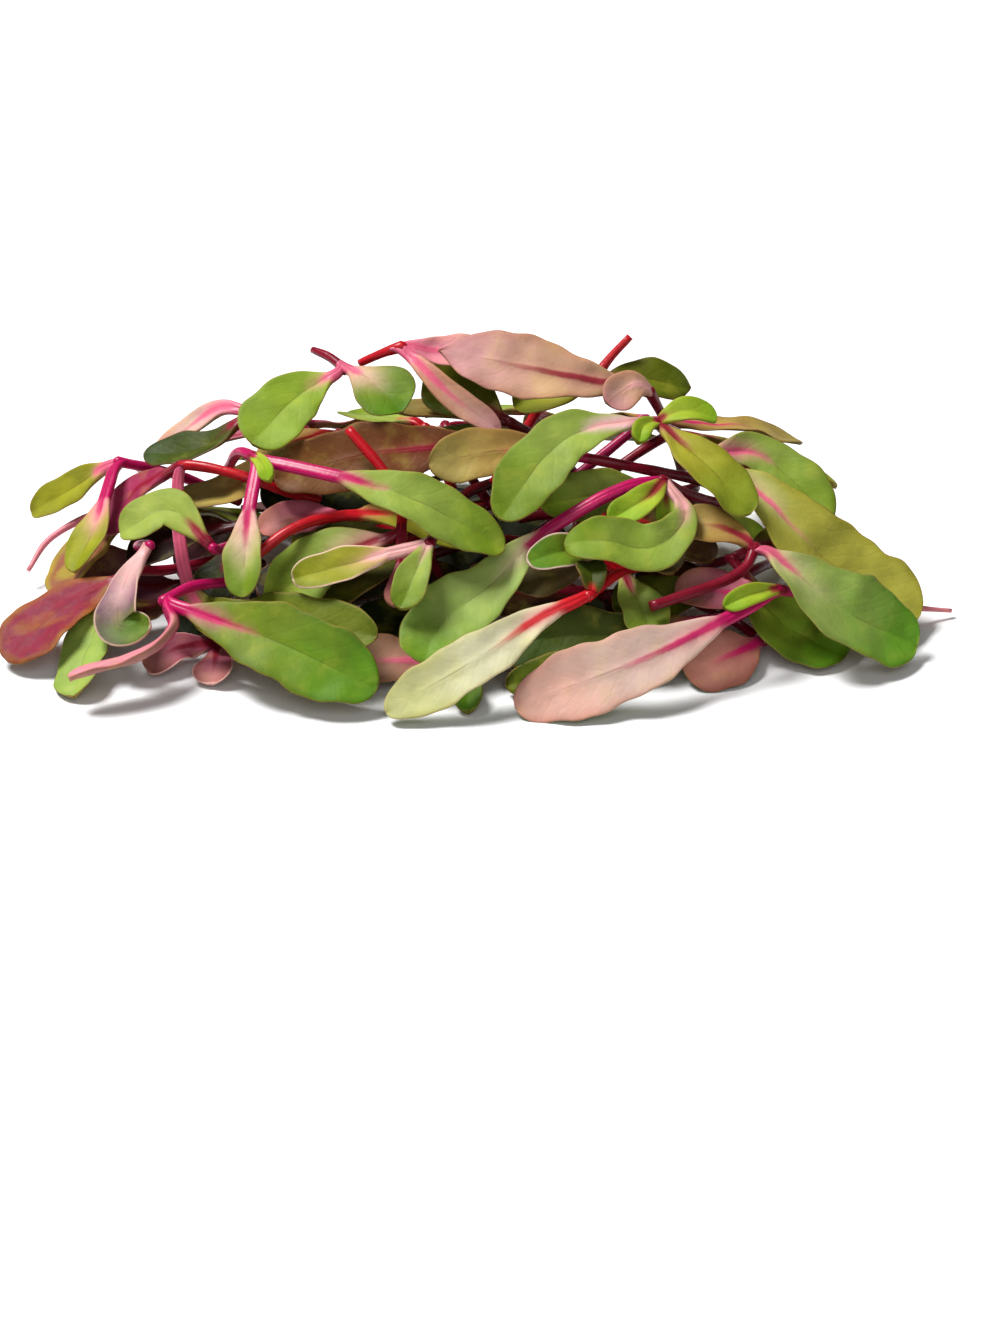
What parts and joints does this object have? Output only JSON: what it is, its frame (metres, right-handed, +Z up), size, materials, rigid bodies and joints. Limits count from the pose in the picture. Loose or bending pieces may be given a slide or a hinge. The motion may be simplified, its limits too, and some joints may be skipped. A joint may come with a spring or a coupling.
{
  "type": "heap of cut red chard microgreens",
  "caption": "Loose low heap of cut young red chard seedlings: long green, cream and blush seed leaves on red stems, lying over one another on a flat surface.",
  "frame": {"origin": "middle of the heap's length and depth, on the surface that it rests on", "axes": "+X along the heap's length, to the right in the picture; +Y away from the viewer; +Z up"},
  "size_m": [0.108, 0.0602, 0.0303],
  "materials": {
    "cream_leaf": "satin",
    "blush_leaf": "satin",
    "green_leaf": "satin",
    "purple_leaf": "satin",
    "crimson_leaf": "satin",
    "brown_leaf": "satin",
    "olive_leaf": "satin"
  },
  "bodies": {
    "root": {"top_beige": "cream_leaf", "top_pink": "blush_leaf", "top_right_two_tone": "green_leaf", "top_left_green": "green_leaf", "middle_magenta_stalk": "green_leaf", "left_scoop": "purple_leaf", "front_left_green": "green_leaf", "left_arched": "green_leaf", "left_magenta_stalk": "green_leaf", "left_mottled_large": "crimson_leaf", "front_cream": "cream_leaf", "front_blush": "blush_leaf", "right_large_green": "green_leaf", "middle_small_pale": "green_leaf", "middle_long_green": "green_leaf", "top_long_brown": "brown_leaf", "right_large_folded": "green_leaf", "left_red_arc": "green_leaf", "middle_red_stub": "green_leaf", "middle_green_point": "green_leaf", "middle_small_boat": "green_leaf", "top_kite": "olive_leaf", "top_right_olive": "olive_leaf", "left_crest": "cream_leaf", "middle_pale": "green_leaf", "left_mottled_inner": "crimson_leaf", "right_low_green": "green_leaf", "front_right_pink": "blush_leaf", "front_middle_brown": "brown_leaf", "front_long_pair": "olive_leaf", "right_inner_olive": "olive_leaf", "left_curled_pair": "blush_leaf", "lowest": "green_leaf", "left_inner_olive": "olive_leaf", "left_inner_crimson": "crimson_leaf", "left_inner_brown": "brown_leaf", "inner_left": "olive_leaf", "inner_right": "brown_leaf", "middle_inner_dark": "green_leaf", "inner_back_left": "green_leaf", "inner_back_right": "olive_leaf", "back_seedling_1": "green_leaf", "back_seedling_2": "green_leaf", "back_seedling_3": "blush_leaf", "back_seedling_4": "green_leaf", "back_seedling_5": "cream_leaf", "back_seedling_6": "green_leaf", "back_seedling_7": "green_leaf", "back_seedling_8": "cream_leaf", "back_seedling_9": "green_leaf", "bed_seedling_1": "brown_leaf", "bed_seedling_2": "green_leaf", "bed_seedling_3": "green_leaf", "bed_seedling_4": "brown_leaf", "bed_seedling_5": "cream_leaf", "bed_seedling_6": "blush_leaf", "bed_seedling_7": "brown_leaf"}
  },
  "joints": []
}
